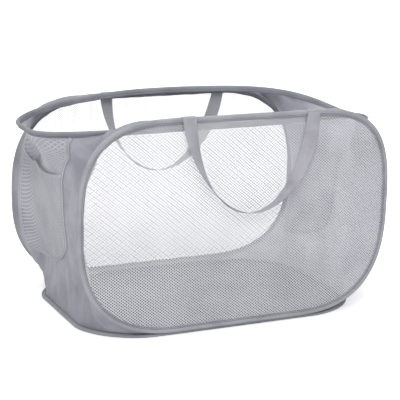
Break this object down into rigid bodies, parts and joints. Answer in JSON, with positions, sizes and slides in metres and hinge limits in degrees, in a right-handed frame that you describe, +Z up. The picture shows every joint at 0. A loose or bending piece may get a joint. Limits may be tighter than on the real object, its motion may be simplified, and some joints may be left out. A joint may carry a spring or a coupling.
{
  "type": "pop up laundry hamper",
  "caption": "Open-topped folding laundry hamper of spring wire hoops with net sides, solid fabric ends and floor, outside end pockets and webbing carrying handles.",
  "frame": {"origin": "centre of the footprint on the floor, at the bottom of the bounding box", "axes": "+X along the long way, -Y out of the front side, +Z up"},
  "size_m": [0.6841, 0.431, 0.3895],
  "materials": {
    "spring_wire": "drawn spring steel",
    "crimped_sleeve": "plain",
    "binding_tape": "matte woven tape",
    "net_cloth": "open knitted net",
    "nylon_cloth": "thin coated nylon",
    "webbing": "woven webbing"
  },
  "bodies": {
    "base": {"bottom_ring_wire": "spring_wire", "bottom_ring_ferrule": "crimped_sleeve", "bottom_ring_binding": "binding_tape", "floor_panel": "nylon_cloth", "right_end_panel": "nylon_cloth", "right_pocket": "net_cloth", "right_pocket_trim": "binding_tape", "left_end_panel": "nylon_cloth", "left_pocket": "net_cloth", "left_pocket_trim": "binding_tape"},
    "front_side": {"front_hoop_wire": "spring_wire", "front_hoop_ferrule": "crimped_sleeve", "front_hoop_binding": "binding_tape", "front_net": "net_cloth", "front_left_handle_tab": "webbing", "front_right_handle_tab": "webbing"},
    "back_side": {"back_hoop_wire": "spring_wire", "back_hoop_ferrule": "crimped_sleeve", "back_hoop_binding": "binding_tape", "back_net": "net_cloth", "back_left_handle_tab": "webbing", "back_right_handle_tab": "webbing"},
    "top_ring": {"top_ring_wire": "spring_wire", "top_ring_ferrule": "crimped_sleeve", "top_ring_binding": "binding_tape"},
    "front_handle": {"front_handle": "webbing"},
    "back_handle": {"back_handle": "webbing"}
  },
  "joints": [
    {"name": "fold", "type": "hinge", "parent": "base", "child": "front_side", "pos_m": [0, -0.18465, 0.0064], "axis": [1, 0, 0], "range_deg": [0, 80], "stiffness_Nm_per_rad": 6, "springref_deg": -20.05, "deforming": ["right_end_panel", "right_pocket", "right_pocket_trim", "left_end_panel", "left_pocket", "left_pocket_trim"]},
    {"name": "back_fold", "type": "hinge", "parent": "base", "child": "back_side", "pos_m": [0, 0.18465, 0.0064], "axis": [1, 0, 0], "range_deg": [0, 80]},
    {"name": "ring_level", "type": "hinge", "parent": "front_side", "child": "top_ring", "pos_m": [0, -0.17595, 0.35895], "axis": [1, 0, 0], "range_deg": [-80, 0]},
    {"name": "front_handle_swing", "type": "hinge", "parent": "front_side", "child": "front_handle", "pos_m": [0.011, -0.19345, 0.38495], "axis": [-1, 0, 0], "range_deg": [0, 180]},
    {"name": "back_handle_swing", "type": "hinge", "parent": "back_side", "child": "back_handle", "pos_m": [0.011, 0.19345, 0.3646], "axis": [1, 0, 0], "range_deg": [0, 180]}
  ],
  "couplings": [
    {"joint": "back_fold", "follows": "fold", "ratio": 1},
    {"joint": "ring_level", "follows": "fold", "ratio": -1}
  ]
}
